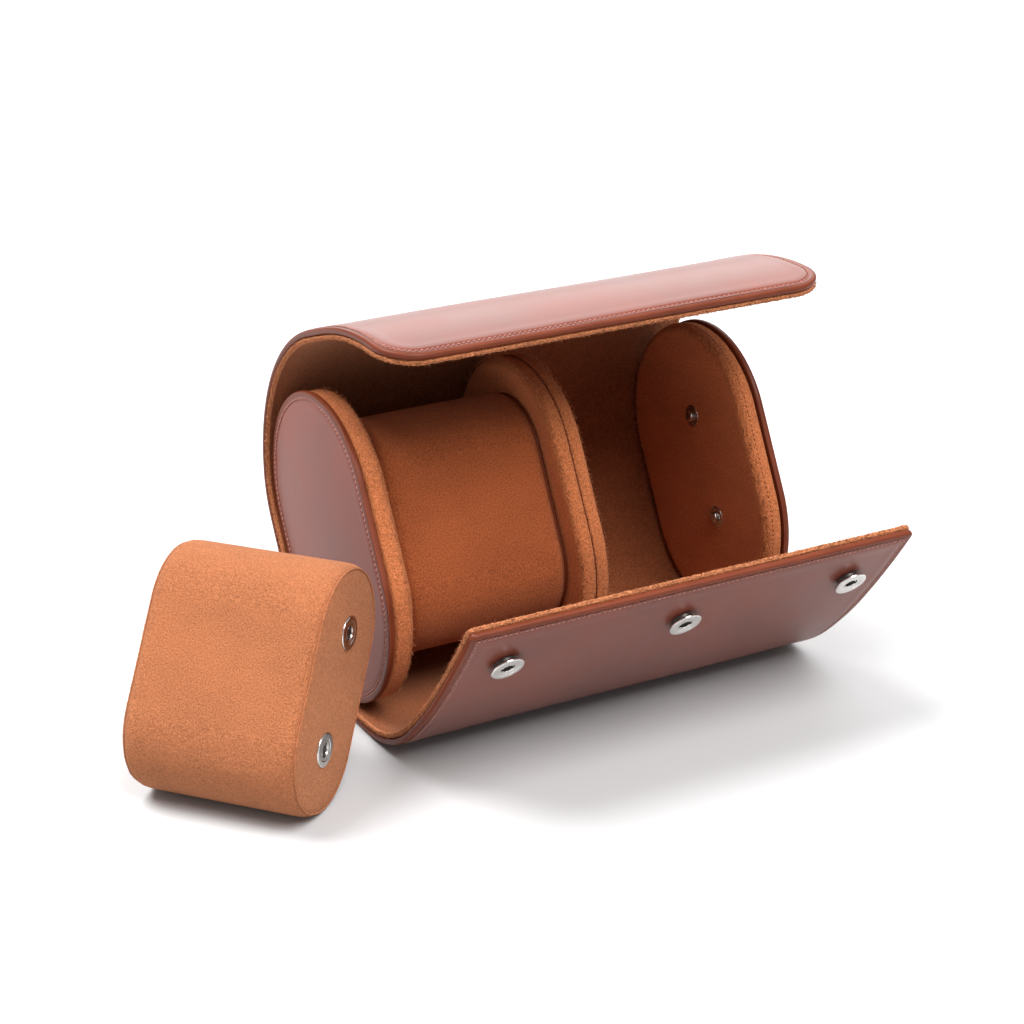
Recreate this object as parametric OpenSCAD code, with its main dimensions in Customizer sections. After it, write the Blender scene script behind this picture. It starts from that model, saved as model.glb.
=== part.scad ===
/* Travel case for two wristwatches, shown open with one cushion taken out.
   X runs along the case, -Y is the front, +Z is up. The origin is the middle of the
   flat strip of the wrap that the case stands on. */

/* [Wrap] */
// Length of the leather wrap along X
wrap_l = 145; // [135:1:170]
// Thickness of the outer leather
leather_t = 2.2; // [1.8:0.1:2.6]
// Thickness of the suede lining
lining_t = 1.6; // [1.2:0.1:2]
// Thickness of the stiffening boards let into the leather
board_t = 1; // [0.6:0.1:1.2]
// Leather border left round each stiffening board
board_border = 6; // [5:0.5:9]
// Flat strip under the case, front to back
floor_run = 18.5; // [16:0.5:24]
// Opening left between two leather segments at a fold line
fold_gap = 0.2; // [0.1:0.05:0.4]
// Radius of the two front corners of the lid
lid_corner_r = 12; // [8:1:18]

/* [Lid, open shape] */
// Length of the part of the lid that is stiffened to the back
root_len = 31; // [29:0.5:33]
// Angle that it turns through
root_turn = 31; // [29:0.5:33]
// Length of the crown between the two fold lines
crown_len = 38; // [36:0.5:40]
// Angle that the crown turns through
crown_turn = 40; // [38:0.5:42]
// Length of the flatter part of the lid front
front_len = 13; // [11:0.5:15]
// Angle that it turns through
front_turn = 2; // [1:0.25:4]
// Length of the drooping lip of the lid front
lip_len = 44; // [41:0.5:47]
// Angle that the lip turns through
lip_turn = 29.5; // [27:0.5:32]

/* [Flap, open shape] */
// Length of the lower flap segment
flap_base_len = 30.5; // [28:0.5:32]
// Angle that it turns through
flap_base_turn = 42; // [40:0.5:44]
// Length of the middle flap segment
flap_mid_len = 27; // [25:0.5:29]
// Angle that it turns through
flap_mid_turn = 9; // [8:0.2:10]
// Length of the front flap segment
flap_front_len = 35.7; // [33:0.5:38]
// Angle that it turns through
flap_front_turn = 5.5; // [5:0.25:7]

/* [End panels and divider] */
// Height of an end panel along its long axis
panel_h = 94; // [88:0.5:98]
// Depth of an end panel across its long axis
panel_d = 66.4; // [62:0.5:70]
// Lean of the long axis back from upright
lean = 28.4; // [27:0.5:31]
// Outside length over the two end panels
body_l = 137.5; // [130:0.5:140]
// Sideways place of the panels in the wrap
body_shift = -2.25; // [-2.5:0.25:0]
// Leather disc on the outside of each end panel
disc_t = 2; // [1.6:0.1:2.4]
// Board core of an end panel
core_t = 4.25; // [4:0.25:6]
// Suede that covers the cores
suede_t = 1.2; // [0.8:0.1:1.5]
// Thickness of each divider board
divider_core_t = 2.6; // [2:0.1:3.5]
// How far the suede edge stands inside the leather disc
rim_inset = 0.6; // [0.3:0.1:1]
// Clearance between the panels and the lining
panel_gap = 0.25; // [0.2:0.05:0.4]
// Clearance between glued layers
layer_gap = 0.05; // [0.03:0.01:0.1]

/* [Cushions] */
// Height of a cushion along its long axis
cushion_h = 71; // [66:0.5:74]
// Thickness of a cushion
cushion_d = 40; // [36:0.5:44]
// Clearance between a cushion and the divider
cushion_gap = 0.35; // [0.3:0.05:0.6]
// Place of the cushions and studs in front of the panel centre
cushion_fwd = 5; // [3:0.5:6]
// Suede skin of a cushion
skin_t = 1; // [0.8:0.1:1.4]
// Board behind the snaps at the end of a cushion
end_board_t = 2; // [1.5:0.1:2.5]
// Distance between the two snaps of a cushion
snap_pitch = 32.8; // [28:0.2:36]
// Place of the cushion that stands outside, along X and Y
out_x = -111.9; // [-125:0.5:-111]
out_y = -19.7; // [-30:0.5:-15]
// Turn of that cushion about the vertical
out_yaw = -49.5; // [-60:0.5:-45]
// How far that cushion leans back
out_lean = 34; // [28:0.5:38]

/* [Snaps] */
// Diameter of the chrome ring of a socket
ring_d = 9.9; // [9:0.1:10.5]
// Height of a flap socket above the leather
socket_h = 2.3; // [2.1:0.05:2.6]
// Height of a cushion ring above the suede
cushion_ring_h = 0.5; // [0.3:0.05:0.7]
// Diameter of the ball of a stud
ball_d = 3.6; // [3.2:0.1:3.8]
// Radial clearance of a ball in its socket
ball_gap = 0.2; // [0.15:0.05:0.3]
// Height of a panel stud
panel_stud_h = 1.8; // [1.6:0.05:2]
// Height of a lid stud
lid_stud_h = 2.6; // [2.4:0.05:2.8]
// Flange of a stud
stud_flange_d = 7; // [6.5:0.1:8]
// Place of the outer snaps of lid and flap from the middle one
snap_x = 57; // [50:0.5:60]
// Snap line to the edge of the flap
flap_snap_in = 18.2; // [14:0.25:20]
// Snap line to the edge of the lid
lid_snap_in = 6.5; // [6:0.25:9]

/* [Hidden] */

round_fn = 96;
corner_out = 0.4;               // how far the corner arcs stand outside the edges
snap_row = [-snap_x, 0, snap_x];
wrap_t = leather_t + lining_t;

// Leather and suede colours
leather_color = [0.52, 0.34, 0.30];
suede_color = [0.76, 0.45, 0.27];
board_color = [0.62, 0.55, 0.45];
foam_color = [0.93, 0.90, 0.82];
steel_color = [0.80, 0.80, 0.81];

// The stadium outline of a panel: two half circles joined by straight sides
end_r = panel_d / 2;
half_straight = (panel_h - panel_d) / 2;
wrap_r = end_r + panel_gap + wrap_t;
long_axis = [sin(lean), cos(lean)];
short_axis = [cos(lean), -sin(lean)];
bottom_c = [floor_run / 2, wrap_r];
panel_c = bottom_c + half_straight * long_axis;
top_c = panel_c + half_straight * long_axis;

// Planes along X
left_x = body_shift - body_l / 2;
right_x = body_shift + body_l / 2;
end_t = disc_t + core_t + 2 * suede_t + layer_gap;
divider_t = 2 * (divider_core_t + 2 * suede_t);
left_face_x = left_x + end_t;
right_face_x = right_x - end_t;
divider_left_x = body_shift - divider_t / 2;
divider_right_x = body_shift + divider_t / 2;
bay_l = divider_left_x - left_face_x;

// Length of a cushion: it stands between the stud heads and the divider
cushion_l = bay_l - panel_stud_h - cushion_ring_h - 2 * cushion_gap;
cushion_r = cushion_d / 2;
cushion_straight = (cushion_h - cushion_d) / 2;
cushion_c = panel_c - cushion_fwd * short_axis;
left_cushion_x = divider_left_x - cushion_gap - cushion_l;

// Snap sizes
socket_bore_r = ball_d / 2 + ball_gap;
ring_t = 0.9;
stem_d = 6.6;
rivet_tube_r = 2.5;
rivet_hole_r = rivet_tube_r + 0.05;
rivet_bore_r = socket_bore_r;
rivet_flange_r = 4;
rivet_flange_t = 0.4;
rivet_reach = 0.7;
flange_t = 0.5;
neck_r = 1.3;
land_t = 0.5;
shank_r = 0.7;
shank_hole_r = 0.75;
shank_reach = 0.9;
lid_stud_sunk = 0.15;          // depth of the bed of a lid stud in the bent suede
wire_r = 0.22;
spring_room_r = 2.75;
spring_room_h = 0.6;
spring_pad = 0.03;

// A path is a row of arcs. A state on it is [y, z, heading]; side() points to its left.
function arc_r(len, turn) = len * 180 / (PI * abs(turn));
function side(h) = [-sin(h), cos(h)];
function arc_c(s, len, turn) = [s[0], s[1]] + sign(turn) * arc_r(len, turn) * side(s[2]);
// The point at a share f of an arc or a straight, moved inwards by depth
function path_at(s, len, turn, f, depth) =
  turn == 0 ? [s[0], s[1]] + f * len * [cos(s[2]), sin(s[2])] + depth * side(s[2])
            : arc_c(s, len, turn) - sign(turn) * (arc_r(len, turn) - depth) * side(s[2] + f * turn);
function path_end(s, len, turn) =
  let (p = path_at(s, len, turn, 1, 0)) [p[0], p[1], s[2] + turn];

// Points along a row of [state, len, turn] at a depth, with lengths trimmed off its two ends
facet_a = 2.5;                 // the angle that one flat of a bent band turns through
facet_len = 4;                 // and the most that it may be long
function flats(turn, len) = turn == 0 ? 1 : max(ceil(abs(turn) / facet_a), ceil(len / facet_len));
function band_side(row, depth, trim0, trim1) =
  [for (i = [0 : len(row) - 1])
    let (g = row[i],
         f0 = i == 0 ? trim0 / g[1] : 0,
         f1 = i == len(row) - 1 ? 1 - trim1 / g[1] : 1,
         n = flats(g[2] * (f1 - f0), g[1] * (f1 - f0)))
    for (j = [(i == 0 ? 0 : 1) : n]) path_at(g[0], g[1], g[2], f0 + (f1 - f0) * j / n, depth)];
function reversed(v) = [for (i = [len(v) - 1 : -1 : 0]) v[i]];

// Starts of the segments of the wrap, outer surface
top_turn = -2.4;
back_turn = 90 - lean;
floor_start = [-floor_run / 2, 0, 0];
bottom_start = [floor_run / 2, 0, 0];
bottom_len = wrap_r * back_turn * PI / 180;
straight_start = path_end(bottom_start, bottom_len, back_turn);
top_start = path_end(straight_start, 2 * half_straight, 0);
top_len = wrap_r * (lean + top_turn) * PI / 180;
lid_start = path_end(top_start, top_len, lean + top_turn);
crown_start = path_end(lid_start, root_len, root_turn);
front_start = path_end(crown_start, crown_len, crown_turn);
lip_start = path_end(front_start, front_len, front_turn);
lid_end = path_end(lip_start, lip_len, lip_turn);
flap_start = [-floor_run / 2, 0, 180];
flap_mid_start = path_end(flap_start, flap_base_len, -flap_base_turn);
flap_front_start = path_end(flap_mid_start, flap_mid_len, -flap_mid_turn);

back_row = [[floor_start, floor_run, 0], [bottom_start, bottom_len, back_turn],
            [straight_start, 2 * half_straight, 0], [top_start, top_len, lean + top_turn],
            [lid_start, root_len, root_turn]];
crown_row = [[crown_start, crown_len, crown_turn]];
front_row = [[front_start, front_len, front_turn], [lip_start, lip_len, lip_turn]];
flap_base_row = [[flap_start, flap_base_len, -flap_base_turn]];
flap_mid_row = [[flap_mid_start, flap_mid_len, -flap_mid_turn]];
flap_front_row = [[flap_front_start, flap_front_len, -flap_front_turn]];

// Snap frames: a point on the outer or inner surface and the outward angle there
flap_snap_f = 1 - flap_snap_in / flap_front_len;
flap_snap_h = flap_front_start[2] - flap_snap_f * flap_front_turn;
flap_snap_p = path_at(flap_front_start, flap_front_len, -flap_front_turn, flap_snap_f, 0);
flap_snap_out = flap_snap_h + 90;
lid_snap_f = 1 - lid_snap_in / lip_len;
lid_snap_h = lip_start[2] + lid_snap_f * lip_turn;
lid_snap_p = path_at(lip_start, lip_len, lip_turn, lid_snap_f, wrap_t);
lid_snap_in_a = lid_snap_h + 90;

// ---------- helpers ----------
module along_x(x0, len) {
  translate([x0, 0, 0]) rotate([90, 0, 90]) linear_extrude(len) children();
}

// A band of the wrap between two depths under its outer surface
module band(row, d0, d1, trim0 = 0, trim1 = 0) {
  polygon(concat(band_side(row, d0, trim0, trim1), reversed(band_side(row, d1, trim0, trim1))));
}

module stadium(r, straight) {
  translate([0, straight]) circle(r, $fn = round_fn);
  translate([0, -straight]) circle(r, $fn = round_fn);
  square([2 * r, 2 * straight], center = true);
}

module panel_outline(inset) {
  translate(panel_c) rotate(-lean) stadium(end_r - inset, half_straight);
}

module wrap_x(border = 0) {
  along_x(-wrap_l / 2 + border, wrap_l - 2 * border) children();
}

// Puts +Z along the direction a in the YZ plane at the point p
module snap_frame(x, p, a) {
  translate([x, p[0], p[1]]) rotate([a - 90, 0, 0]) children();
}

// Drill for the shank or tube of a snap, along +Z of its frame
module drill(r, z0, z1) {
  translate([0, 0, z0]) cylinder(r = r, h = z1 - z0, $fn = round_fn / 2);
}

// Rounds the front corners of the lid: the arcs cross the two edges at a small angle
module lid_corner_cut() {
  c = lid_corner_r;
  reach = 60;
  for (k = [-1, 1])
    translate([0, lid_end[0], lid_end[1]]) rotate([lid_end[2] - 180 - lip_turn / 4, 0, 0])
      translate([k * (wrap_l / 2 - c + corner_out), c - corner_out, -reach / 2])
        linear_extrude(reach)
          difference() {
            translate([k > 0 ? 0 : -2 * c, -2 * c]) square(2 * c);
            circle(c, $fn = round_fn);
          }
}

// ---------- snap hardware, each along +Z from the surface it sits on ----------
module socket(height) {
  difference() {
    rotate_extrude($fn = round_fn)
      polygon([[0, 0], [stem_d / 2, 0], [stem_d / 2, height - ring_t],
               [ring_d / 2 - 0.35, height - ring_t], [ring_d / 2, height - ring_t + 0.3],
               [ring_d / 2, height - 0.25], [ring_d / 2 - 0.25, height], [0, height]]);
    drill(socket_bore_r, -1, height + 1);
    drill(rivet_hole_r, -1, rivet_reach + layer_gap);
    drill(spring_room_r, height - 0.35 - spring_room_h, height - 0.35);
  }
}

// The two bowed arms of the spring wire that grip the neck of a ball
module socket_spring(height) {
  arm_r = (socket_bore_r + spring_room_r) / 2;
  for (a = [20, 200])
    translate([0, 0, height - 0.35 - spring_room_h + wire_r + spring_pad])
      rotate(a) rotate_extrude(angle = 140, $fn = round_fn)
        translate([arm_r, 0]) circle(wire_r, $fn = 24);
}

// Tube rivet: its flange lies behind the leather or board, depth under the surface
module socket_rivet(depth) {
  difference() {
    union() {
      drill(rivet_tube_r, -depth, rivet_reach);
      drill(rivet_flange_r, -depth - rivet_flange_t, -depth);
    }
    drill(rivet_bore_r, -depth - rivet_flange_t + 0.15, rivet_reach + 1);
  }
}

module stud(height, flange_r) {
  head_r = ball_d / 2;
  difference() {
    rotate_extrude($fn = round_fn)
      polygon([[0, 0], [flange_r, 0], [flange_r, flange_t * 0.5], [flange_r - 0.4, flange_t],
               [neck_r, flange_t], [neck_r, height - land_t - 0.55],
               [head_r, height - land_t - 0.3], [head_r, height - 0.3], [head_r - 0.15, height - 0.1],
               [head_r - 0.5, height], [0, height]]);
    drill(shank_hole_r, -1, shank_reach + layer_gap);
  }
}

module stud_rivet(depth, flange_r, sunk = 0) {
  drill(shank_r, -depth, shank_reach - sunk);
  drill(flange_r, -depth - rivet_flange_t, -depth);
}

// ---------- wrap ----------
in_leather = leather_t - board_t;       // depth at which a board starts
lining_from = leather_t + layer_gap;
board_from = in_leather + layer_gap;
slit = fold_gap / 2;
seat = board_border + layer_gap;        // from an edge of the leather to a board

module leather_band(row, trim0, trim1) {
  color(leather_color) difference() {
    wrap_x() band(row, 0, leather_t, trim0, trim1);
    wrap_x(board_border) band(row, in_leather, leather_t + 1, board_border, board_border);
  }
}

module board_band(row, trim0 = seat, trim1 = seat) {
  color(board_color) wrap_x(seat) band(row, board_from, leather_t, trim0, trim1);
}

module lining_band(row, trim0, trim1) {
  color(suede_color) wrap_x() band(row, lining_from, wrap_t, trim0, trim1);
}

module back_leather() { leather_band(back_row, slit, slit); }
module back_board() { board_band(back_row); }
module back_lining() { lining_band(back_row, slit, slit); }

module lid_crown_leather() { leather_band(crown_row, slit, slit); }
module lid_crown_board() { board_band(crown_row); }
module lid_crown_lining() { lining_band(crown_row, slit, slit); }

module at_lid_snaps() {
  for (x = snap_row) snap_frame(x, lid_snap_p, lid_snap_in_a) children();
}

// The front of the lid is stiffened up to a border behind its snaps
lid_bare = lid_snap_in + 2 * board_border;

module lid_front_leather() {
  color(leather_color) difference() {
    wrap_x() band(front_row, 0, leather_t, slit, 0);
    wrap_x(board_border) band(front_row, in_leather, leather_t + 1, board_border, lid_bare);
    lid_corner_cut();
    at_lid_snaps()
      drill(rivet_flange_r + layer_gap, -lining_t - rivet_flange_t - 3 * layer_gap, 0);
  }
}

module lid_front_board() { board_band(front_row, seat, lid_bare + layer_gap); }

module lid_front_lining() {
  difference() {
    lining_band(front_row, slit, 0);
    lid_corner_cut();
    at_lid_snaps() {
      drill(shank_r + layer_gap, -wrap_t, 1);
      drill(stud_flange_d / 2 + layer_gap, -lid_stud_sunk, 1);
    }
  }
}

module lid_studs() {
  color(steel_color) at_lid_snaps()
    translate([0, 0, layer_gap - lid_stud_sunk]) stud(lid_stud_h, stud_flange_d / 2);
}

module lid_stud_rivets() {
  color(steel_color) at_lid_snaps() stud_rivet(lining_t, rivet_flange_r, lid_stud_sunk);
}

// ---------- flap ----------
module flap_base_leather() { leather_band(flap_base_row, slit, slit); }
module flap_base_board() { board_band(flap_base_row); }
module flap_base_lining() { lining_band(flap_base_row, slit, slit); }

module flap_middle_leather() { leather_band(flap_mid_row, slit, slit); }
module flap_middle_board() { board_band(flap_mid_row); }
module flap_middle_lining() { lining_band(flap_mid_row, slit, slit); }

module at_flap_snaps() {
  for (x = snap_row) snap_frame(x, flap_snap_p, flap_snap_out) children();
}

module flap_front_leather() {
  difference() {
    leather_band(flap_front_row, slit, 0);
    at_flap_snaps() drill(rivet_hole_r, -leather_t - 1, 1);
  }
}

module flap_front_board() {
  difference() {
    board_band(flap_front_row);
    at_flap_snaps() drill(rivet_hole_r, -leather_t - 1, 1);
  }
}

module flap_front_lining() {
  difference() {
    lining_band(flap_front_row, slit, 0);
    at_flap_snaps()
      drill(rivet_flange_r + layer_gap, -leather_t - rivet_flange_t - 3 * layer_gap, 1);
  }
}

module flap_sockets() {
  color(steel_color) at_flap_snaps() translate([0, 0, layer_gap]) socket(socket_h);
}

module flap_socket_springs() {
  color(steel_color) at_flap_snaps() translate([0, 0, layer_gap]) socket_spring(socket_h);
}

module flap_socket_rivets() {
  color(steel_color) at_flap_snaps() socket_rivet(leather_t + 2 * layer_gap);
}

// ---------- end panels: leather disc, board core and a suede cup round the core ----------
module panel_disc(x0) {
  color(leather_color) along_x(x0, disc_t) panel_outline(0);
}

// The suede cup; k is 1 where its face looks towards +X
module panel_suede(x0, k, studs_x) {
  cup_t = core_t + 2 * suede_t;
  color(suede_color) difference() {
    along_x(x0, cup_t) panel_outline(rim_inset);
    along_x(x0 + suede_t, core_t) panel_outline(rim_inset + suede_t);
    at_panel_studs(studs_x, k) drill(shank_r + layer_gap, -suede_t - 1, 1);
  }
}

module panel_core(x0, k, studs_x) {
  color(board_color) difference() {
    along_x(x0 + suede_t + layer_gap, core_t - 2 * layer_gap)
      panel_outline(rim_inset + suede_t + layer_gap);
    at_panel_studs(studs_x, k) drill(rivet_flange_r + layer_gap, -2 * suede_t, 1);
  }
}

module at_panel_studs(x, k) {
  for (j = [-1, 1])
    translate([x, (cushion_c + j * snap_pitch / 2 * long_axis)[0],
               (cushion_c + j * snap_pitch / 2 * long_axis)[1]])
      rotate([0, k * 90, 0]) children();
}

module left_panel_disc() { panel_disc(left_x); }
module left_panel_core() { panel_core(left_x + disc_t + layer_gap, 1, left_face_x); }
module left_panel_suede() { panel_suede(left_x + disc_t + layer_gap, 1, left_face_x); }
module right_panel_disc() { panel_disc(right_x - disc_t); }
module right_panel_core() { panel_core(right_face_x, -1, right_face_x); }
module right_panel_suede() { panel_suede(right_face_x, -1, right_face_x); }

module panel_studs(x, k) {
  color(steel_color) at_panel_studs(x, k)
    stud(panel_stud_h, stud_flange_d / 2);
}

module left_panel_studs() { panel_studs(left_face_x, 1); }
module right_panel_studs() { panel_studs(right_face_x, -1); }

module panel_rivets(x, k) {
  color(steel_color) at_panel_studs(x, k) stud_rivet(suede_t + layer_gap, rivet_flange_r);
}

module left_stud_rivets() { panel_rivets(left_face_x, 1); }
module right_stud_rivets() { panel_rivets(right_face_x, -1); }

// ---------- divider: two covered boards back to back ----------
module half_suede(x0) {
  half_t = divider_core_t + 2 * suede_t;
  color(suede_color) difference() {
    along_x(x0, half_t) panel_outline(rim_inset);
    along_x(x0 + suede_t, divider_core_t) panel_outline(rim_inset + suede_t);
  }
}

module half_core(x0) {
  color(board_color) along_x(x0 + suede_t + layer_gap, divider_core_t - 2 * layer_gap)
    panel_outline(rim_inset + suede_t + layer_gap);
}

module divider_left_suede() { half_suede(divider_left_x); }
module divider_left_core() { half_core(divider_left_x); }
module divider_right_suede() { half_suede(body_shift); }
module divider_right_core() { half_core(body_shift); }

// ---------- cushions, along X from their left end, about their own middle ----------
module cushion_outline(inset) {
  stadium(cushion_r - inset, cushion_straight);
}

// Puts the long axis of a cushion upright, its snaps at the end that k names
module in_left_bay() {
  translate([left_cushion_x, cushion_c[0], cushion_c[1]]) rotate([-lean, 0, 0]) children();
}

module outside_case() {
  rise = cushion_r + cushion_straight * cos(out_lean);
  translate([out_x, out_y, rise]) rotate([0, 0, out_yaw]) rotate([-out_lean, 0, 0])
    translate([cushion_l / 2, 0, 0]) mirror([1, 0, 0]) children();
}

module at_cushion_snaps() {
  for (j = [-1, 1])
    translate([0, 0, j * snap_pitch / 2]) rotate([0, -90, 0]) children();
}

module cushion_cover() {
  color(suede_color) difference() {
    along_x(0, cushion_l) cushion_outline(0);
    along_x(skin_t, cushion_l - 2 * skin_t) cushion_outline(skin_t);
    at_cushion_snaps() drill(stem_d / 2 + layer_gap, -skin_t - 1, 1);
  }
}

module cushion_foam() {
  x0 = skin_t + end_board_t + 2 * layer_gap;
  color(foam_color) difference() {
    along_x(x0, cushion_l - skin_t - layer_gap - x0) cushion_outline(skin_t + layer_gap);
    at_cushion_snaps()
      drill(rivet_flange_r + layer_gap, -x0 - rivet_flange_t - layer_gap, 1);
  }
}

module cushion_end_board() {
  color(board_color) difference() {
    along_x(skin_t + layer_gap, end_board_t) cushion_outline(skin_t + layer_gap);
    at_cushion_snaps() drill(stem_d / 2 + layer_gap, -skin_t - end_board_t - 1, 1);
  }
}

cushion_socket_h = skin_t + end_board_t + cushion_ring_h;
module cushion_sockets() {
  color(steel_color) at_cushion_snaps()
    translate([0, 0, -skin_t - end_board_t]) cushion_socket(cushion_socket_h);
}

// A socket whose ring lies on the suede and whose stem goes through skin and board
module cushion_socket(height) {
  ring_b = cushion_ring_h - layer_gap;
  difference() {
    rotate_extrude($fn = round_fn)
      polygon([[0, 0], [stem_d / 2, 0], [stem_d / 2, height - ring_b],
               [ring_d / 2, height - ring_b], [ring_d / 2, height - 0.2],
               [ring_d / 2 - 0.2, height], [0, height]]);
    drill(socket_bore_r, -1, height + 1);
    drill(rivet_hole_r, -1, rivet_reach + layer_gap);
    drill(spring_room_r, height - 0.35 - spring_room_h, height - 0.35);
  }
}

module cushion_springs() {
  color(steel_color) at_cushion_snaps()
    translate([0, 0, -skin_t - end_board_t]) socket_spring(cushion_socket_h);
}

module cushion_rivets() {
  color(steel_color) at_cushion_snaps()
    translate([0, 0, -skin_t - end_board_t]) socket_rivet(layer_gap);
}

module left_cushion_cover() { in_left_bay() cushion_cover(); }
module left_cushion_foam() { in_left_bay() cushion_foam(); }
module left_cushion_end_board() { in_left_bay() cushion_end_board(); }
module left_cushion_sockets() { in_left_bay() cushion_sockets(); }
module left_cushion_springs() { in_left_bay() cushion_springs(); }
module left_cushion_rivets() { in_left_bay() cushion_rivets(); }
module loose_cushion_cover() { outside_case() cushion_cover(); }
module loose_cushion_foam() { outside_case() cushion_foam(); }
module loose_cushion_end_board() { outside_case() cushion_end_board(); }
module loose_cushion_sockets() { outside_case() cushion_sockets(); }
module loose_cushion_springs() { outside_case() cushion_springs(); }
module loose_cushion_rivets() { outside_case() cushion_rivets(); }

back_leather();
back_board();
back_lining();
lid_crown_leather();
lid_crown_board();
lid_crown_lining();
lid_front_leather();
lid_front_board();
lid_front_lining();
lid_studs();
lid_stud_rivets();
flap_base_leather();
flap_base_board();
flap_base_lining();
flap_middle_leather();
flap_middle_board();
flap_middle_lining();
flap_front_leather();
flap_front_board();
flap_front_lining();
flap_sockets();
flap_socket_springs();
flap_socket_rivets();
left_panel_disc();
left_panel_core();
left_panel_suede();
left_panel_studs();
left_stud_rivets();
right_panel_disc();
right_panel_core();
right_panel_suede();
right_panel_studs();
right_stud_rivets();
divider_left_suede();
divider_left_core();
divider_right_suede();
divider_right_core();
left_cushion_cover();
left_cushion_foam();
left_cushion_end_board();
left_cushion_sockets();
left_cushion_springs();
left_cushion_rivets();
loose_cushion_cover();
loose_cushion_foam();
loose_cushion_end_board();
loose_cushion_sockets();
loose_cushion_springs();
loose_cushion_rivets();
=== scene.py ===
"""Dresses a two-slot watch travel case: leather wrap, suede lining, panels, divider, cushions and snaps."""
from collections import namedtuple
from math import atan2, cos, hypot, pi, radians, sin

import bmesh
import bpy
import numpy as np
from bpy.props import FloatProperty, FloatVectorProperty, IntProperty, PointerProperty
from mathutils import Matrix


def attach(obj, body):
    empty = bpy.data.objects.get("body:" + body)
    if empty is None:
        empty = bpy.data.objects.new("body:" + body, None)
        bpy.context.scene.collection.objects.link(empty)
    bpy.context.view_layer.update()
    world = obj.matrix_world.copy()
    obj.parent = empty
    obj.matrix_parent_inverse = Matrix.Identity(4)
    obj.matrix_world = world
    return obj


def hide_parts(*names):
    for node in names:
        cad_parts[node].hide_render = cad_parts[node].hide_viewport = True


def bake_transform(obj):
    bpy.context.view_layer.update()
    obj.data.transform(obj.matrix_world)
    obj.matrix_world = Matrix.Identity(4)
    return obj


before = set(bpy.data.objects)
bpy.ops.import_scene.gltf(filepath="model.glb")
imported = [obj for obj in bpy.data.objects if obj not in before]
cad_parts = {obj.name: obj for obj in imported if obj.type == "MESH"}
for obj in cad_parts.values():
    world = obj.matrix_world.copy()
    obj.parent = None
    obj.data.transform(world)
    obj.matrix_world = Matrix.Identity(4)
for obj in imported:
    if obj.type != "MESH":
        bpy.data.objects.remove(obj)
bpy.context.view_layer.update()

bl_info = {
    "name": "Watch travel case",
    "version": (1, 0, 0),
    "blender": (4, 5, 0),
    "location": "3D View > Sidebar > Watch case",
    "description": "Builds the leather, suede, stitching and snaps of a two-slot watch travel case",
    "category": "Add Mesh",
}

MM = 0.001


# ---- sizes and colours
def a_length(label, note, value):
    return FloatProperty(name=label, description=note, default=value, unit="LENGTH")


def a_colour(label, note, value):
    return FloatVectorProperty(name=label, description=note, subtype="COLOR", size=3, default=value)


def a_strength(label, note, value):
    return FloatProperty(name=label, description=note, default=value, min=0)


class WatchCaseSizes(bpy.types.PropertyGroup):
    """Sizes of the sewn and painted parts, which lie on the solids of the case"""

    wrap_length: a_length("Wrap length", "Length of the wrap along X", 0.145)
    leather: a_length("Leather", "Thickness of the outer leather with its stiffener", 0.0022)
    lining: a_length("Lining", "Thickness of the suede lining", 0.0016)
    lid_corner: a_length("Lid corner", "Radius of the two front corners of the lid", 0.012)
    flap_corner: a_length("Flap corner", "Radius of the two corners of the flap", 0.0018)
    stitch_inset: a_length("Stitch inset", "Seam line to the edge of the leather", 0.0024)
    stitch_pitch: a_length("Stitch pitch", "Distance from one stitch to the next", 0.0016)
    thread: a_length("Thread", "Thickness of the sewing thread", 0.0005)
    cushion_swell: a_length("Cushion swell", "Most that the filling pushes a cushion out", 0.0012)
    around: IntProperty(name="Points around", description="Points around each end panel and cushion",
                        default=192, min=48, max=512)


class WatchCaseColours(bpy.types.PropertyGroup):
    """Colours of the finishes, in linear values"""

    leather: a_colour("Leather", "Smooth outer leather", (0.155, 0.039, 0.024))
    edge: a_colour("Painted edge", "Painted edge of the leather", (0.125, 0.025, 0.009))
    suede: a_colour("Suede", "Napped lining and covers", (0.36, 0.099, 0.036))
    thread: a_colour("Thread", "Sewing thread", (0.27, 0.1, 0.07))
    steel: a_colour("Snap metal", "Polished snaps", (0.72, 0.7, 0.67))


class WatchCaseStage(bpy.types.PropertyGroup):
    """Floor, light and camera"""

    floor: a_colour("Floor", "Colour of the floor", (0.5, 0.5, 0.502))
    key: a_strength("Key", "Strength of the wide soft light above, behind and to the left", 4.3)
    front: a_strength("Front", "Strength of the wide soft light above and in front", 3.75)
    back: a_strength("Back screen", "Power of the screen behind the case that shines on the lid", 14.0)
    side: a_strength("Side screen", "Power of the screen on the left that shines on the end", 0.5)
    surround: a_strength("Surround", "Strength of the white surroundings", 0.5)
    lens: FloatProperty(name="Lens", description="Focal length of the camera in millimetres",
                        default=86.94, min=20)


def sizes_of():
    return bpy.context.scene.watch_case_sizes


# ---- shader nodes
class Socket:
    """An output of a node of a finish, whose Python operators add Math nodes."""

    def __init__(self, finish, link):
        self.finish, self.link = finish, link

    def maths(self, operation, other):
        return self.finish.node("Math", {"operation": operation}, {0: self, 1: other})

    def __add__(self, other):
        return self.maths("ADD", other)

    def __mul__(self, other):
        return self.maths("MULTIPLY", other)

    __radd__, __rmul__ = __add__, __mul__


def scaled(colour, *factors):
    """A colour times one factor, or times one factor for each of its three values."""
    factors = factors * 3 if len(factors) == 1 else factors
    return tuple(min(1.0, c * factor) for c, factor in zip(colour, factors))


REST, OBJECT = "rest_place", "object"


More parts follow.
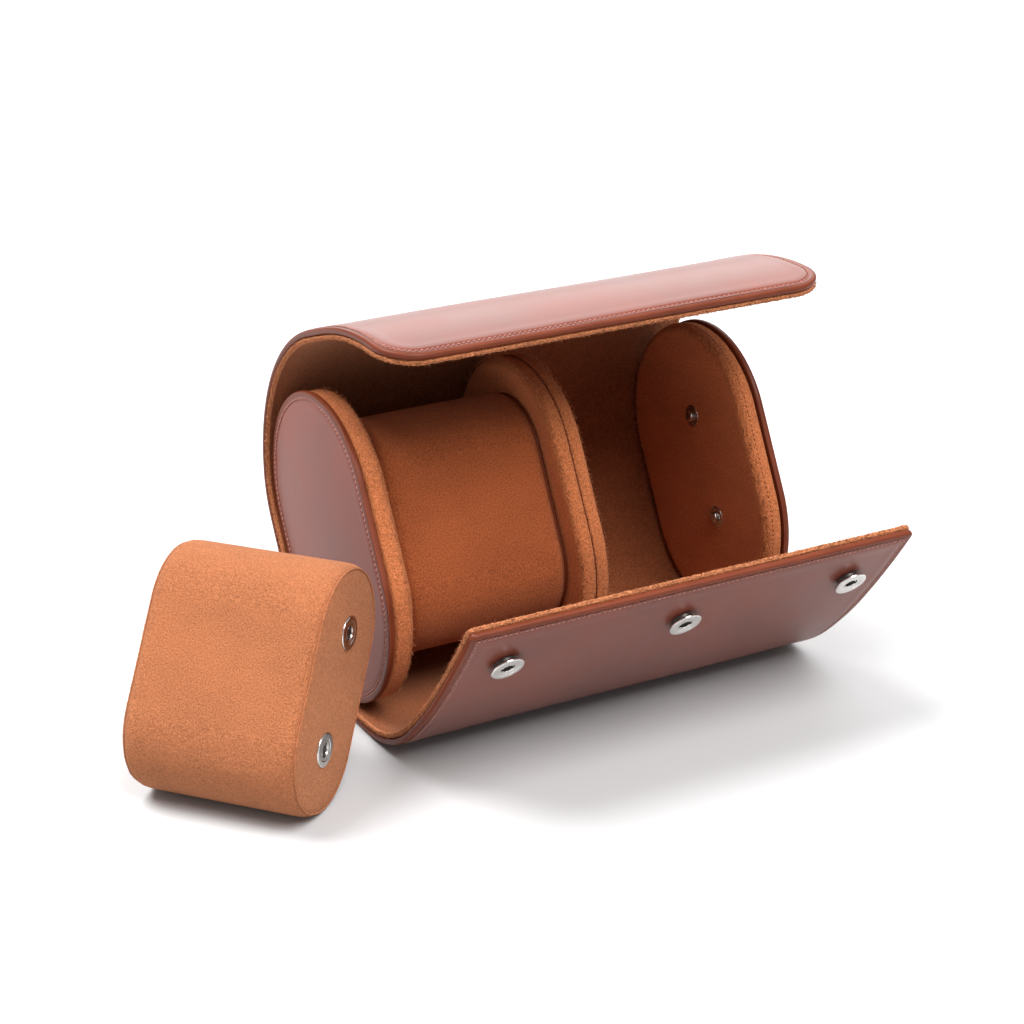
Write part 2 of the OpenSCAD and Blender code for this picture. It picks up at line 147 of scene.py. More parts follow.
class Finish:
    """One material: a Principled shader fed by noise, on stored rest places or on Object coordinates."""

    def __init__(self, name, pattern_on="", **constants):
        self.material = bpy.data.materials.new(name)
        self.material.use_nodes = True
        self.tree = self.material.node_tree
        self.shader = self.tree.nodes["Principled BSDF"]
        self.feed(**constants)
        if pattern_on == OBJECT:
            self.place = self.node("TexCoord", {}, {}, 3)
        elif pattern_on:
            self.place = self.node("Attribute", {"attribute_name": pattern_on}, {}, 1)

    def fill(self, node, values):
        """Links or sets inputs of a node; a colour of three values gets a full alpha."""
        for key, value in values.items():
            socket = node.inputs[key]
            if isinstance(value, Socket):
                self.tree.links.new(value.link, socket)
            elif hasattr(socket.default_value, "__len__"):
                socket.default_value = tuple(value) + (1.0,) * (len(socket.default_value) - len(value))
            else:
                socket.default_value = value

    def node(self, kind, settings, values, output=0):
        """Adds a node, sets its settings first, then its inputs, and returns one of its outputs."""
        node = self.tree.nodes.new("ShaderNode" + kind)
        for name, value in settings.items():
            setattr(node, name, value)
        self.fill(node, values)
        return Socket(self, node.outputs[output])

    def feed(self, **values):
        self.fill(self.shader, {key.replace("_", " "): value for key, value in values.items()})

    def noise(self, scale, detail=2.0, roughness=0.5, place=None):
        return self.node("TexNoise", {}, {
            "Vector": place or self.place, "Scale": scale, "Detail": detail, "Roughness": roughness})

    def mix(self, factor, first, second):
        return self.node("Mix", {"data_type": "RGBA"}, {0: factor, 6: first, 7: second}, 2)

    def ramp(self, value, low, high, to_low=0.0, to_high=1.0):
        return self.node("MapRange", {"clamp": True}, {
            "Value": value, "From Min": low, "From Max": high, "To Min": to_low, "To Max": to_high})

    def tones(self, value, low, high, colour, dark, light):
        """Runs from a darker to a lighter tone of one colour as a value goes from low to high."""
        return self.mix(self.ramp(value, low, high), scaled(colour, dark), scaled(colour, light))

    def bump(self, height, distance, strength, **under):
        return self.node("Bump", {}, {"Height": height, "Distance": distance, "Strength": strength, **under})


def leather_finish(name, colour, pattern_on=REST, shine=0.31):
    """Smooth leather: fine pores, a soft mottle in colour and gloss."""
    gloss = 0.34
    finish = Finish(name, pattern_on, Roughness=gloss, Coat_Weight=shine * 0.2, Coat_Roughness=0.2,
                    Specular_IOR_Level=shine)
    mottle, pores = finish.noise(38.0, 3.0, 0.55), finish.noise(1700.0, 3.0, 0.6)
    mottled = finish.tones(mottle, 0.3, 0.7, colour, 0.86, 1.14)
    waves = finish.bump(finish.noise(80.0), 0.0002, 0.3)
    shade = finish.ramp(pores, 0.25, 0.45, 0.22, 0.0)
    finish.feed(Base_Color=finish.mix(shade, mottled, scaled(colour, 0.55)),
                Roughness=finish.ramp(mottle, 0.2, 0.8, gloss - 0.05, gloss + 0.07),
                Normal=finish.bump(pores, 0.00004, 0.4, Normal=waves))
    return finish.material


def suede_finish(name, colour, pattern_on=REST, nap=1.3, grain=1800.0):
    """Suede: fine speckled nap, brushed patches that run lighter and darker, and a soft rim sheen."""
    finish = Finish(name, pattern_on, Roughness=0.95, Specular_IOR_Level=0.12, Sheen_Weight=0.18,
                    Sheen_Roughness=0.5, Sheen_Tint=(1.0, 0.66, 0.42))
    fibre, speck = finish.noise(grain * 2.1, 3.0, 0.7), finish.noise(grain, 2.0, 0.6)
    stretched = finish.node("Mapping", {}, {"Vector": finish.place, "Scale": (1.0, 0.6, 1.5)})
    brushed = finish.tones(finish.noise(42.0, 4.0, 0.62, stretched), 0.32, 0.68, colour, 0.8, 1.16)
    speckled = finish.mix(finish.ramp(speck, 0.36, 0.64),
                          finish.mix(0.34 * nap, brushed, scaled(colour, 0.35)),
                          finish.mix(0.3 * nap, brushed, scaled(scaled(colour, 1.02, 1.12, 1.2), 1.75)))
    relief = 0.6 * speck + 0.4 * fibre
    shade = finish.ramp(fibre, 0.3, 0.7, 0.0, 0.4 * nap)
    finish.feed(Base_Color=finish.mix(shade, speckled, scaled(colour, 0.45)),
                Normal=finish.bump(relief, 0.0005 * nap, 0.9))
    return finish.material


def edge_finish(name, colour):
    """Painted edge: burnished and glossy, its tone wandering slowly along its length."""
    finish = Finish(name, REST, Roughness=0.42, Coat_Weight=0.03, Coat_Roughness=0.2, Specular_IOR_Level=0.17)
    tone = finish.noise(60.0, 3.0, 0.6)
    finish.feed(Base_Color=finish.tones(tone, 0.3, 0.7, colour, 0.82, 1.18),
                Roughness=finish.ramp(tone, 0.3, 0.7, 0.32, 0.44),
                Normal=finish.bump(finish.noise(700.0), 0.00006, 0.5))
    return finish.material


def plain_finish(name, colour, pattern_on, noise, tones, relief=None, gloss=None, **constants):
    """One noise gives the tones of a colour and, where given, the relief and the marks in the gloss."""
    finish = Finish(name, pattern_on, **constants)
    value = finish.noise(*noise)
    low, high, dark, light = tones
    finish.feed(Base_Color=finish.tones(value, low, high, colour, dark, light))
    if relief:
        finish.feed(Normal=finish.bump(value, *relief))
    if gloss:
        finish.feed(Roughness=finish.ramp(value, 0.3, 0.75, gloss * 0.75, gloss * 1.5))
    return finish.material


def thread_finish(name, colour):
    """Twisted thread: its plies a little lighter on their crowns."""
    return plain_finish(name, colour, REST, (2600.0, 1.0), (0.35, 0.65, 0.7, 1.5), (0.00015, 0.6),
                        Roughness=0.55, Sheen_Weight=0.2)


def board_finish(name, colour, scale=300.0):
    """Grey board or soft filling: fine fibres."""
    return plain_finish(name, colour, OBJECT, (scale, 4.0, 0.7), (0.3, 0.7, 0.8, 1.0), (0.0002, 0.5),
                        Roughness=0.9)


def metal_finish(name, colour, gloss=0.14):
    """Polished metal with faint handling marks."""
    return plain_finish(name, colour, OBJECT, (900.0, 4.0, 0.65), (0.35, 0.7, 0.88, 1.0), gloss=gloss,
                        Metallic=1.0, Roughness=gloss)


FINISHES = {}


def finish_of(name):
    """Makes each material once, from the colours of the panel; the solid ones need no stored rest places."""
    if name in FINISHES:
        return FINISHES[name]
    colours = bpy.context.scene.watch_case_colours
    leather, suede, steel = colours.leather, colours.suede, colours.steel
    FINISHES[name] = {
        "leather": lambda: leather_finish("smooth_leather", leather),
        # the end discs are the wrap's leather made lighter and redder, with less shine: the change of colour
        # is painted light for how the discs are lit
        "disc": lambda: leather_finish("disc_leather_painted_light", scaled(leather, 1.2, 1.06, 1.04), shine=0.22),
        "edge": lambda: edge_finish("painted_edge", colours.edge),
        "thread": lambda: thread_finish("sewing_thread", colours.thread),
        # the lining is the suede darkened to 0.74 of its colour: painted shade for the dim inside of the case
        "suede": lambda: suede_finish("suede_lining_painted_shade", scaled(suede, 0.74)),
        # the inner faces of the panels and divider are the suede lightened 1.85 times: painted light for
        # faces deep in shade
        "face": lambda: suede_finish("suede_inner_face_painted_light", scaled(suede, 1.85)),
        # two copies of one cushion suede: the darker, redder one for the cushion in the bay is painted shade,
        # the paler one for the loose cushion is painted light
        "cover": lambda: suede_finish("suede_cushion_cover", scaled(suede, 0.92, 0.8, 0.66), grain=2100.0),
        "pale": lambda: suede_finish(
            "suede_cushion_cover_painted_light", scaled(suede, 1.08, 1.3, 1.45), grain=2100.0),
        "raw": lambda: suede_finish("raw_suede_edge", scaled(suede, 1.5, 1.85, 2.1), nap=1.6, grain=2000.0),
        # the rims are a lighter copy of the suede with a rougher nap: the nap and part of the lightness are
        # the turned band's own, the rest is painted light for bands facing the lamps
        "rim": lambda: suede_finish("suede_rim_partly_painted_light", scaled(suede, 1.5, 1.62, 1.55), nap=1.6, grain=2000.0),
        "snap": lambda: metal_finish("polished_snap", steel),
        "ball": lambda: metal_finish("dark_ball_stud", scaled(steel, 0.8), 0.24),
        # bores and stems are near-black metal: painted shade in the socket holes and under the rings
        "dark": lambda: metal_finish("bore_painted_shade", (0.09, 0.085, 0.08), 0.4),
        "rivet": lambda: metal_finish("brass_rivet", (0.55, 0.42, 0.22), 0.35),
        "board": lambda: board_finish("grey_board", (0.42, 0.36, 0.28)),
        "foam": lambda: board_finish("soft_filling", (0.8, 0.76, 0.68), 700.0),
        "solid_leather": lambda: leather_finish(name, leather, OBJECT),
        "solid_suede": lambda: suede_finish(name, suede, OBJECT),
        "solid_snap": lambda: metal_finish(name, steel),
    }[name]()
    return FINISHES[name]


# ---- the wrap's path and the panels' outline
FLOOR_RUN = 18.5 * MM
LEAN = radians(28.4)
END_RADIUS = 33.2 * MM
HALF_STRAIGHT = 13.8 * MM
WRAP_RADIUS = END_RADIUS + 0.25 * MM + 3.8 * MM
LONG_AXIS = np.array([sin(LEAN), cos(LEAN)])
SHORT_AXIS = np.array([cos(LEAN), -sin(LEAN)])
PANEL_CENTRE = np.array([FLOOR_RUN / 2, WRAP_RADIUS]) + HALF_STRAIGHT * LONG_AXIS
CUSHION_CENTRE = PANEL_CENTRE - 5.0 * MM * SHORT_AXIS
# lengths in mm and turns in degrees, from the front edge of the floor strip
LID_ROUTE = ((18.5, 0.0), (WRAP_RADIUS / MM * radians(61.6), 61.6), (27.6, 0.0),
             (WRAP_RADIUS / MM * radians(26.0), 26.0), (31.0, 31.0), (38.0, 40.0), (13.0, 2.0), (44.0, 29.5))
FLAP_ROUTE = ((30.5, 42.0), (27.0, 9.0), (35.7, 5.5))
LID_MARKS, FLAP_MARKS = (
    np.concatenate([[0.0], np.cumsum([length for length, turn in route])]) * MM
    for route in (LID_ROUTE, FLAP_ROUTE))
LID_END, FLAP_END = LID_MARKS[-1], FLAP_MARKS[-1]
CROWN_FOLD, FRONT_FOLD = LID_MARKS[5], LID_MARKS[6]


def follow(route, marks, distance, heading, hand):
    """Point and heading at a distance along a row of arcs with constant rates of turn, in closed form."""
    point, angle = np.array([-FLOOR_RUN / 2, 0.0]), heading
    places = np.zeros(distance.shape + (2,))
    headings = np.zeros(distance.shape)
    for k, (length, turn) in enumerate(route):
        length, turn = length * MM, hand * radians(turn)
        low = -np.inf if k == 0 else marks[k]
        high = np.inf if k == len(route) - 1 else marks[k + 1]
        inside = (distance >= low) & (distance < high)
        along = distance[inside] - marks[k]
        rate = turn / length
        for_all = np.append(along, length)
        if abs(rate) < 1e-9:
            step = for_all[:, None] * np.array([cos(angle), sin(angle)])
        else:
            bent = angle + rate * for_all
            step = np.stack([np.sin(bent) - sin(angle), cos(angle) - np.cos(bent)], -1) / rate
        places[inside], headings[inside] = point + step[:-1], angle + rate * along
        point, angle = point + step[-1], angle + turn
    return places, headings


def on_wrap(along, across, depth):
    """A point of the wrap: along from the floor's front edge, negative on the flap, across, and in depth."""
    along, across, depth = np.broadcast_arrays(*(np.asarray(v, float) for v in (along, across, depth)))
    lid, lid_heading = follow(LID_ROUTE, LID_MARKS, np.maximum(along, 0.0), 0.0, 1.0)
    flap, flap_heading = follow(FLAP_ROUTE, FLAP_MARKS, np.maximum(-along, 0.0), pi, -1.0)
    front = along < 0
    heading = np.where(front, flap_heading + pi, lid_heading)
    inward = np.stack([-np.sin(heading), np.cos(heading)], -1)
    place = np.where(front[..., None], flap, lid) + depth[..., None] * inward
    return np.stack([across, place[..., 0], place[..., 1]], -1)


def leaned(short, long, tilt):
    """Turns a place on a stadium's short and long axes to one across and up."""
    return short * cos(tilt) + long * sin(tilt), long * cos(tilt) - short * sin(tilt)


def around_stadium(profile, centre, points, radius=END_RADIUS, straight=HALF_STRAIGHT, tilt=LEAN):
    """Carries a profile of (inset, x) round a stadium: foot points plus (radius - inset) times the normal."""
    profile = np.asarray(profile, float)
    quarter = points // 4
    bend = np.linspace(0, pi, points // 2 - quarter // 2 + 1)
    rise = np.linspace(-straight, straight, quarter // 2 + 2)[1:-1]
    angle = np.concatenate([bend, np.full(rise.size, pi), bend + pi, np.full(rise.size, 2 * pi)])
    foot = np.concatenate([np.full(bend.size, straight), -rise, np.full(bend.size, -straight), rise])
    reach = radius - profile[:, :1]
    across, up = leaned(reach * np.cos(angle), foot + reach * np.sin(angle), tilt)
    return np.stack([np.broadcast_to(profile[:, 1:], up.shape), centre[0] + across, centre[1] + up], -1)


def panel_ring(profile, sizes, finer=1):
    return around_stadium(np.asarray(profile, float) * MM, PANEL_CENTRE, sizes.around * finer)


# ---- meshes
def grid_faces(rows, columns, start, wrap):
    """Quads of a grid whose vertices run row by row; wrap joins the last column to the first."""
    i, j = np.meshgrid(np.arange(rows - 1), np.arange(columns if wrap else columns - 1), indexing="ij")
    k = (j + 1) % columns
    corners = [i * columns + j, i * columns + k, (i + 1) * columns + k, (i + 1) * columns + j]
    return start + np.stack(corners, -1).reshape(-1, 4)


def make_piece(name, grids, finish, wrap=False, flip=False, work=None):
    """A smooth-shaded object from (rows, columns, 3) grids, with its points' rest places for the patterns."""
    faces, start = [], 0
    for grid in grids:
        rows, columns = grid.shape[:2]
        faces.append(grid_faces(rows, columns, start, wrap))
        start += rows * columns
    points, faces = np.concatenate([grid.reshape(-1, 3) for grid in grids]), np.concatenate(faces)
    faces = faces[:, ::-1] if flip else faces
    mesh = bpy.data.meshes.new(name)
    mesh.vertices.add(len(points))
    mesh.vertices.foreach_set("co", points.astype(np.float32).ravel())
    mesh.loops.add(faces.size)
    mesh.loops.foreach_set("vertex_index", faces.astype(np.int32).ravel())
    mesh.polygons.add(len(faces))
    mesh.polygons.foreach_set("loop_start", np.arange(0, faces.size, faces.shape[1], dtype=np.int32))
    mesh.polygons.foreach_set("use_smooth", np.ones(len(faces), bool))
    mesh.update()
    mesh.validate()
    if work:
        shell = bmesh.new()
        shell.from_mesh(mesh)
        work(shell)
        shell.to_mesh(mesh)
        shell.free()
    layer = mesh.attributes.new(REST, "FLOAT_VECTOR", "POINT")
    layer.data.foreach_set("vector", points_of(mesh).astype(np.float32).ravel())
    piece = bpy.data.objects.new(name, mesh)
    bpy.context.scene.collection.objects.link(piece)
    mesh.materials.append(finish if isinstance(finish, bpy.types.Material) else finish_of(finish))
    return piece


def points_of(mesh):
    return np.array([vertex.co for vertex in mesh.vertices], float)


def move_points(mesh, points):
    mesh.vertices.foreach_set("co", points.astype(np.float32).ravel())
    mesh.update()


def weld(shell, distance=0.00002):
    """Merges doubled vertices where rows close to a line or a point."""
    bmesh.ops.remove_doubles(shell, verts=shell.verts, dist=distance)
    bmesh.ops.dissolve_degenerate(shell, edges=shell.edges, dist=distance / 4)


def face_outwards(shell):
    bmesh.ops.recalc_face_normals(shell, faces=shell.faces)


def settle(piece, kind, nodes=(), body=None):
    """Hides the solids that a piece stands for and hangs the piece on its body, where one is given; kind is
    not used.
    """
    if body:
        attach(piece, body)
    if nodes:
        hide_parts(*nodes)


# ---- small helpers for lines and profiles
def even_steps(low, high, step):
    return np.linspace(low, high, max(2, int(round((high - low) / step)) + 1))


def circle(count):
    """Cosines and sines of evenly spaced angles, as two columns for rings of points."""
    turn = np.linspace(0, 2 * pi, count + 1)[:-1]
    return np.cos(turn)[:, None], np.sin(turn)[:, None]


def unit(rows):
    return rows / np.linalg.norm(rows, axis=-1, keepdims=True)


def closed(ring):
    return np.concatenate([ring, ring[:1]])


def at_shares(line, old, new):
    """Reads a line of 3-D points, known at the old distances, at the new ones."""
    return np.stack([np.interp(new, old, line[:, k]) for k in range(3)], -1)


def distances(path):
    return np.concatenate([[0], np.cumsum(np.linalg.norm(np.diff(path, axis=0), axis=1))])


def rounded(points, corner, count=5):
    """A profile with each inner corner replaced by a quadratic curve through the corner's two cut points."""
    points = [np.array(p, float) for p in points]
    out = [points[0]]
    for before, here, after in zip(points, points[1:], points[2:]):
        a, b = before - here, after - here
        reach = min(corner, np.linalg.norm(a) / 2, np.linalg.norm(b) / 2)
        first, last = here + unit(a) * reach, here + unit(b) * reach
        t = np.linspace(0, 1, count)[:, None]
        out += list((1 - t) ** 2 * first + 2 * t * (1 - t) * here + t ** 2 * last)
    return np.array(out + [points[-1]])


def fuzzed(grid, amount, seed):
    """Roughens a grid with a seeded noise that fades out at its first and last rows."""
    noise = np.random.default_rng(seed).standard_normal(grid.shape)
    return grid + amount * noise * np.sin(np.linspace(0, pi, grid.shape[0]))[:, None, None]


# ---- the sewn sheet
# one stretch of the wrap: the bodies before and after its fold, the fold line, its two ends and its nodes
Stretch = namedtuple("Stretch", "label before after fold low high nodes")
LAP = 9 * MM
STRETCHES = (
    Stretch("back", "case", "lid_crown", CROWN_FOLD, LAP, CROWN_FOLD + 16 * MM, ("back",)),
    Stretch("lid", "lid_crown", "lid_front", FRONT_FOLD, CROWN_FOLD + 16 * MM, LID_END,
            ("lid_crown", "lid_front")),
    Stretch("flap_base", "case", "flap_base", 0.0, LAP, -15 * MM, ("flap_base",)),
    Stretch("flap_middle", "flap_base", "flap_middle", -FLAP_MARKS[1], -15 * MM, -44 * MM, ("flap_middle",)),
    Stretch("flap_front", "flap_middle", "flap_front", -FLAP_MARKS[2], -44 * MM, -FLAP_END, ("flap_front",)),
)
BEND_HALF = 5 * MM
# rolled and painted edge of the leather and cut edge of the suede: outward and depth
LEATHER_EDGE = np.array([
    (-1.5, 0.1), (-1.2, 0.09), (-0.9, 0.12), (-0.62, 0.17), (-0.34, 0.28), (-0.13, 0.48), (-0.02, 0.78),
    (0.0, 1.1), (-0.03, 1.42), (-0.12, 1.7), (-0.28, 1.93), (-0.52, 2.08), (-0.9, 2.15)]) * MM
SUEDE_EDGE = np.array([
    (-1.3, 2.2), (-0.95, 2.24), (-0.6, 2.3), (-0.34, 2.42), (-0.18, 2.6), (-0.1, 2.82), (-0.08, 3.05),
    (-0.12, 3.28), (-0.24, 3.48), (-0.42, 3.63), (-0.68, 3.72), (-1.0, 3.74)]) * MM
SUEDE_FUZZ = 0.15 * MM
# how far in from the edge the faces of both start
LEATHER_INSET, SUEDE_INSET = 1.45 * MM, 1.0 * MM
FIBRE_ROOT, FIBRE_DEPTH = 0.2 * MM, 3.05 * MM


def corner_radius(place, sizes):
    return sizes.lid_corner if place > 0 else sizes.flap_corner


def has_end(stretch):
    return stretch.high in (LID_END, -FLAP_END)


def border(stretch, sizes):
    """The edge of one stretch as runs of (along, across, outward normal), its free corners rounded."""
    half = sizes.wrap_length / 2
    step = 0.4 * MM
    length, sign = abs(stretch.high - stretch.low), np.sign(stretch.high - stretch.low)
    if has_end(stretch):
        radius = corner_radius(stretch.high, sizes)
        straight = even_steps(0, length - radius, step)
        turn = np.linspace(0, pi / 2, max(8, int(radius * pi / 2 / step)))[1:]
        tip = even_steps(-half + radius, half - radius, step)[1:]
        there = np.stack([
            np.concatenate([straight, length - radius + radius * np.sin(turn), np.full(tip.size, length)]),
            np.concatenate([np.full(straight.size, -half), -half + radius - radius * np.cos(turn), tip]),
            np.concatenate([np.zeros(straight.size), np.sin(turn), np.ones(tip.size)]),
            np.concatenate([np.full(straight.size, -1.0), -np.cos(turn), np.zeros(tip.size)])])
        back = there[:, straight.size + turn.size - 2::-1] * np.array([[1.0], [-1.0], [1.0], [-1.0]])
        s, x, ns, nx = np.hstack([there, back])
        return [(stretch.low + sign * s, x, sign * ns, nx)]
    s = stretch.low + sign * even_steps(0, length, step)
    zero, one = np.zeros(s.size), np.ones(s.size)
    return [(s, -half * one, zero, -one), (s[::-1], half * one, zero, one)]


def edge_distance(s, x, sizes, corner_at):
    """Distance from the edge of the whole wrap, inside a rectangle with rounded ends."""
    radius = corner_radius(corner_at, sizes)
    to_end = np.abs(corner_at - s)
    to_side = sizes.wrap_length / 2 - np.abs(x)
    corner = (to_end < radius) & (to_side < radius)
    return np.where(corner, radius - np.hypot(radius - to_end, radius - to_side), np.minimum(to_end, to_side))


# steps of a sheet's grid: along the wrap, along it near an end, across it near a side and in the middle
ROW_STEP, END_STEP, SIDE_STEP, MIDDLE_STEP = 0.8 * MM, 0.35 * MM, 0.33 * MM, 2.2 * MM
END_RUN, SIDE_RUN = 12 * MM, 11 * MM


def sheet_grid(stretch, sizes, inset, depth_of):
    """The face of one stretch: rows along the wrap and columns scaled to its width, at depth_of's depth."""
    low, high = stretch.low, stretch.high
    ends = has_end(stretch)
    spread = sizes.wrap_length / 2 - inset
    length = abs(high - low) - (inset if ends else 0.0)
    radius = corner_radius(high, sizes) - inset if ends else 0.0
    fine = min(END_RUN, length / 2)
    rows = np.concatenate([even_steps(0, length - fine, ROW_STEP)[:-1],
                           even_steps(length - fine, length - max(radius, 0), END_STEP)])
    width = np.full(rows.size, spread)
    if radius > 0:
        turn = np.linspace(0, pi / 2, max(6, int(radius / END_STEP)))[1:]
        rows = np.concatenate([rows[rows < length - radius + 1e-9], length - radius + radius * np.sin(turn)])
        width = np.concatenate([width[:rows.size - turn.size], spread - radius + radius * np.cos(turn)])
    side = even_steps(0, SIDE_RUN, SIDE_STEP)
    middle = even_steps(SIDE_RUN - spread, spread - SIDE_RUN, MIDDLE_STEP)[1:-1]
    columns = np.concatenate([-spread + side, middle, (spread - side)[::-1]]) / spread
    s = low + np.sign(high - low) * rows[:, None] + 0 * columns
    x = width[:, None] * columns
    on_back = low > 5 * MM and high > 0
    distance = edge_distance(s, x, sizes, high if ends else LID_END if on_back else -FLAP_END)
    return on_wrap(s, x, depth_of(distance, s, x, sizes))


def bell(distance, width):
    return np.exp(-(distance / width) ** 2)


def sewn_depth(distance, s, x, sizes):
    """Depth of the outer leather: rolled over at the edge, drawn in at the seam, a little full beyond it."""
    seam = 0.28 * MM * bell(distance - sizes.stitch_inset, 0.55 * MM)
    full = -0.1 * MM * bell(distance - sizes.stitch_inset * 1.9, 1.6 * MM)
    roll = 0.3 * MM * np.clip(1 - distance / (1.5 * MM), 0, 1) ** 2
    sway = 0.12 * MM * np.sin(x / (21 * MM)) * np.sin(s / (13 * MM) + 0.7)
    return seam + full + roll + sway


def lining_depth(distance, s, x, sizes):
    """Depth of the suede: its full thickness, thinner where the seam draws it in, softly uneven."""
    seam = -0.22 * MM * bell(distance - sizes.stitch_inset, 0.9 * MM)
    sway = 0.1 * MM * np.sin(x / (9 * MM) + 1.3) * np.sin(s / (7 * MM))
    return sizes.leather + sizes.lining + seam + sway - 0.06 * MM


def edge_strip(stretch, sizes, profile, fuzz=0.0, seed=3):
    """Carries an edge profile of (outward, depth) along the border; fuzz moves its points by seeded noise."""
    noise = np.random.default_rng(seed)
    fade = np.sin(np.linspace(0, pi, len(profile)))[None, :, None]
    grids = []
    for s, x, ns, nx in border(stretch, sizes):
        moved = profile[None] + fuzz * noise.standard_normal((s.size, len(profile), 2)) * fade
        out, depth = moved[..., 0], moved[..., 1]
        grids.append(on_wrap(s[:, None] + ns[:, None] * out, x[:, None] + nx[:, None] * out, depth))
    return grids


def fold_over(piece, kind, stretch, sizes, nodes=()):
    """Bakes a piece that crosses a fold in place and hides what it stands for; it finds points 5 mm each side
    of the fold but doesn't use them.
    """
    onward = np.sign(stretch.high - stretch.low) * BEND_HALF
    depth = sizes.leather + sizes.lining
    start, end = (tuple(on_wrap(stretch.fold + reach, 0.0, depth)) for reach in (-onward, onward))
    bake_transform(piece)
    settle(piece, kind, nodes)


def stitch_grid(place, along, out, length, thick):
    """One stitch: a short bowed tube that dips into the leather at both ends, with rings of six points."""
    along = unit(along)
    side = np.cross(out, along)
    share = np.linspace(-1, 1, 7)
    girth = thick / 2 * np.sqrt(np.clip(1 - share ** 4, 0.02, 1))
    height = thick * 0.42 * (1 - share ** 2) - thick * 0.22
    slant = 0.12 * share * length
    middle = place + share[:, None] * along * length / 2 + height[:, None] * out + slant[:, None] * side
    across, up = circle(6)
    return middle[:, None] + girth[:, None, None] * (across * side + up * out)


def stitches(places, alongs, outs, length, thick):
    """All stitches of one seam as a list of grids."""
    return [stitch_grid(place, along, out, length, thick) for place, along, out in zip(places, alongs, outs)]


def sewn(sizes):
    """Length and thickness of a stitch of the leather."""
    return sizes.stitch_pitch * 0.72, sizes.thread


def seam_points(path, pitch):
    """Evenly spaced points on a polyline, and their directions."""
    run = distances(path)
    count = max(2, int(round(run[-1] / pitch)))
    at = (np.arange(count) + 0.5) * run[-1] / count
    ahead, behind = (at_shares(path, run, at + reach) for reach in (pitch * 0.2, -pitch * 0.2))
    return at_shares(path, run, at), unit(ahead - behind)


def wrap_seam(stretch, sizes):
    """The stitches of one stretch, a little way in from its edge."""
    inset, seam = sizes.stitch_inset, []
    limit, half = abs(stretch.high) - inset + 1e-6, sizes.wrap_length / 2 - inset
    for s, x, ns, nx in border(stretch, sizes):
        s, x = s - ns * inset, x - nx * inset
        if has_end(stretch):
            s, x = np.clip(s, -limit, limit), np.clip(x, -half, half)
        points, alongs = seam_points(on_wrap(s, x, 0.2 * MM), sizes.stitch_pitch)
        deeper = seam_points(on_wrap(s, x, 1.2 * MM), sizes.stitch_pitch)[0]
        count = min(len(points), len(deeper))
        points, alongs, outs = points[:count], alongs[:count], points[:count] - deeper[:count]
        outs -= (outs * alongs).sum(1)[:, None] * alongs
        seam += stitches(points, alongs, unit(outs), *sewn(sizes))
    return seam


def fibres(name, roots, outs, per_mm, seed, length=0.9 * MM):
    """Loose fibres of a cut suede edge: thin cones scattered along a seam, leaning outwards at random."""
    noise = np.random.default_rng(seed)
    run = distances(roots)
    count = int(run[-1] / MM * per_mm)
    at = noise.uniform(0, run[-1], count)
    root, out = at_shares(roots, run, at), at_shares(outs, run, at)
    spread = 1.6
    root = root + 0.18 * MM * noise.uniform(-spread, spread, (count, 3))
    aim = out + 0.5 * noise.uniform(-spread, spread, (count, 3))
    aim *= (length * noise.uniform(0.4, 1.0, count) / np.linalg.norm(aim, axis=1))[:, None]
    side = unit(np.cross(aim, noise.standard_normal((count, 3))))[:, None]
    other = np.cross(unit(aim)[:, None], side)
    curl = 0.3 * length * noise.uniform(-spread, spread, (count, 3))
    across, up = circle(3)
    tip, belly = 0.008 * MM, 0.085 * MM
    grids = np.stack([(root + aim * share + curl * share ** 2)[:, None] + thick * (across * side + up * other)
                      for share, thick in ((-0.3, tip), (0.35, belly), (1.0, tip))], 1)
    return make_piece(name, grids, "raw", wrap=True, flip=True)


# ---- operators
class WATCHCASE_OT_wrap(bpy.types.Operator):
    """Makes the outer leather, its painted edge, the suede lining and the seam of the wrap"""

    bl_idname = "watch_case.wrap"
    bl_label = "Leather wrap"

    def execute(self, context):
        sizes = sizes_of()
        for seed, stretch in enumerate(STRETCHES):
            label, back = stretch.label, stretch.high < stretch.low
            leather = sheet_grid(stretch, sizes, LEATHER_INSET, sewn_depth)
            suede = sheet_grid(stretch, sizes, SUEDE_INSET, lining_depth)
            # the suede faces take the darkened lining copy of the suede: painted shade
            parts = (
                ("_leather_face", [leather], "leather", not back, "leather"),
                ("_suede_face", [suede], "suede", back, "lining"),
                ("_painted_edge", edge_strip(stretch, sizes, LEATHER_EDGE), "edge", back, None),
                ("_suede_edge", edge_strip(stretch, sizes, SUEDE_EDGE, SUEDE_FUZZ, seed), "raw", back, None))
            for ending, grids, finish, flip, node in parts:
                piece = make_piece(label + ending, grids, finish, flip=flip)
                nodes = [own + "_" + node for own in stretch.nodes] if node else []
                fold_over(piece, "suede" if "suede" in ending else "leather", stretch, sizes, nodes)
            seam = make_piece(label + "_stitches", wrap_seam(stretch, sizes), "thread", wrap=True, flip=True)
            fold_over(seam, "leather", stretch, sizes)
            for number, (s, x, ns, nx) in enumerate(border(stretch, sizes)):
                roots = on_wrap(s - ns * FIBRE_ROOT, x - nx * FIBRE_ROOT, FIBRE_DEPTH)
                beyond = MM - FIBRE_ROOT
                outs = (on_wrap(s + ns * beyond, x + nx * beyond, FIBRE_DEPTH + 0.05 * MM) - roots) / MM
                loose = fibres(f"{label}_edge_fibres_{number}", roots, outs, 5.0, 40 + 2 * seed + number)
                fold_over(loose, "suede", stretch, sizes)
        return {"FINISHED"}


